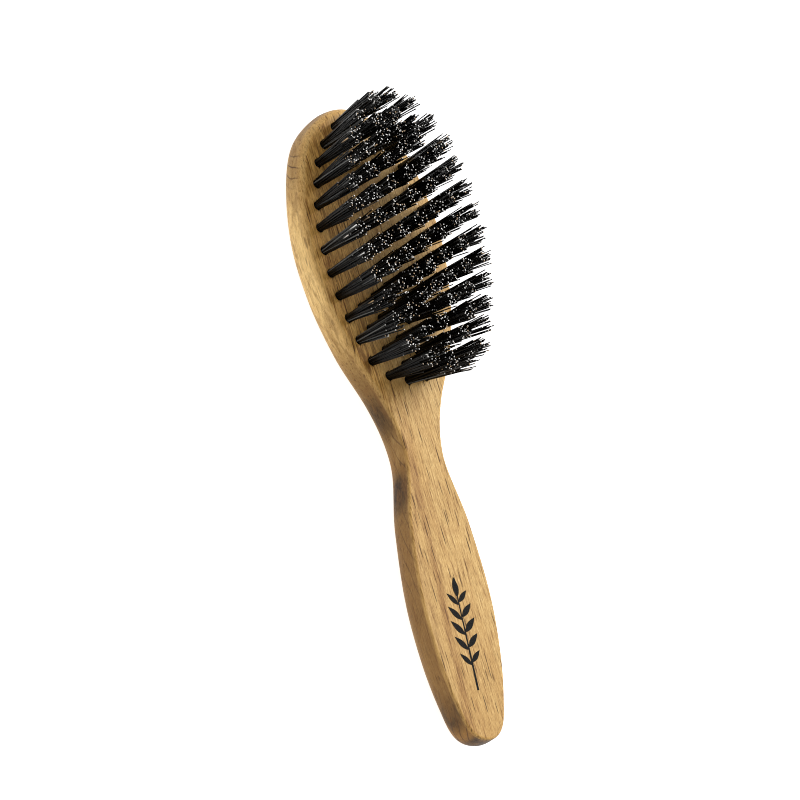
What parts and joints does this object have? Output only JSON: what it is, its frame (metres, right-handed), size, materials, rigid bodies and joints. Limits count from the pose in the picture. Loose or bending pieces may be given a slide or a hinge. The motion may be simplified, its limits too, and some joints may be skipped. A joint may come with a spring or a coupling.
{
  "type": "beard brush",
  "caption": "Flat wooden paddle brush for a beard, with an oval head of stiff dark bristle tufts set in drilled holes and a rounded handle.",
  "frame": {"origin": "on the surface the brush lies on, under the middle of its length and width", "axes": "+Y along the brush from handle to head, +Z out of the bristle face, +X across"},
  "size_m": [0.0464, 0.17, 0.0285],
  "materials": {
    "beech": "smooth sanded beech with an oil finish, fine dark flecks along the grain",
    "bristle": "stiff near-black natural bristle with a grey sheen and pale cut ends",
    "anchor_wire": "plain drawn flat wire"
  },
  "bodies": {
    "root": {"wood_body": "beech", "tuft_row_01": "bristle", "tuft_row_02": "bristle", "tuft_row_03": "bristle", "tuft_row_04": "bristle", "tuft_row_05": "bristle", "tuft_row_06": "bristle", "tuft_row_07": "bristle", "tuft_row_08": "bristle", "tuft_row_09": "bristle", "tuft_row_10": "bristle", "tuft_row_11": "bristle", "tuft_row_12": "bristle", "tuft_row_13": "bristle", "anchor_row_01": "anchor_wire", "anchor_row_02": "anchor_wire", "anchor_row_03": "anchor_wire", "anchor_row_04": "anchor_wire", "anchor_row_05": "anchor_wire", "anchor_row_06": "anchor_wire", "anchor_row_07": "anchor_wire", "anchor_row_08": "anchor_wire", "anchor_row_09": "anchor_wire", "anchor_row_10": "anchor_wire", "anchor_row_11": "anchor_wire", "anchor_row_12": "anchor_wire", "anchor_row_13": "anchor_wire"}
  },
  "joints": []
}
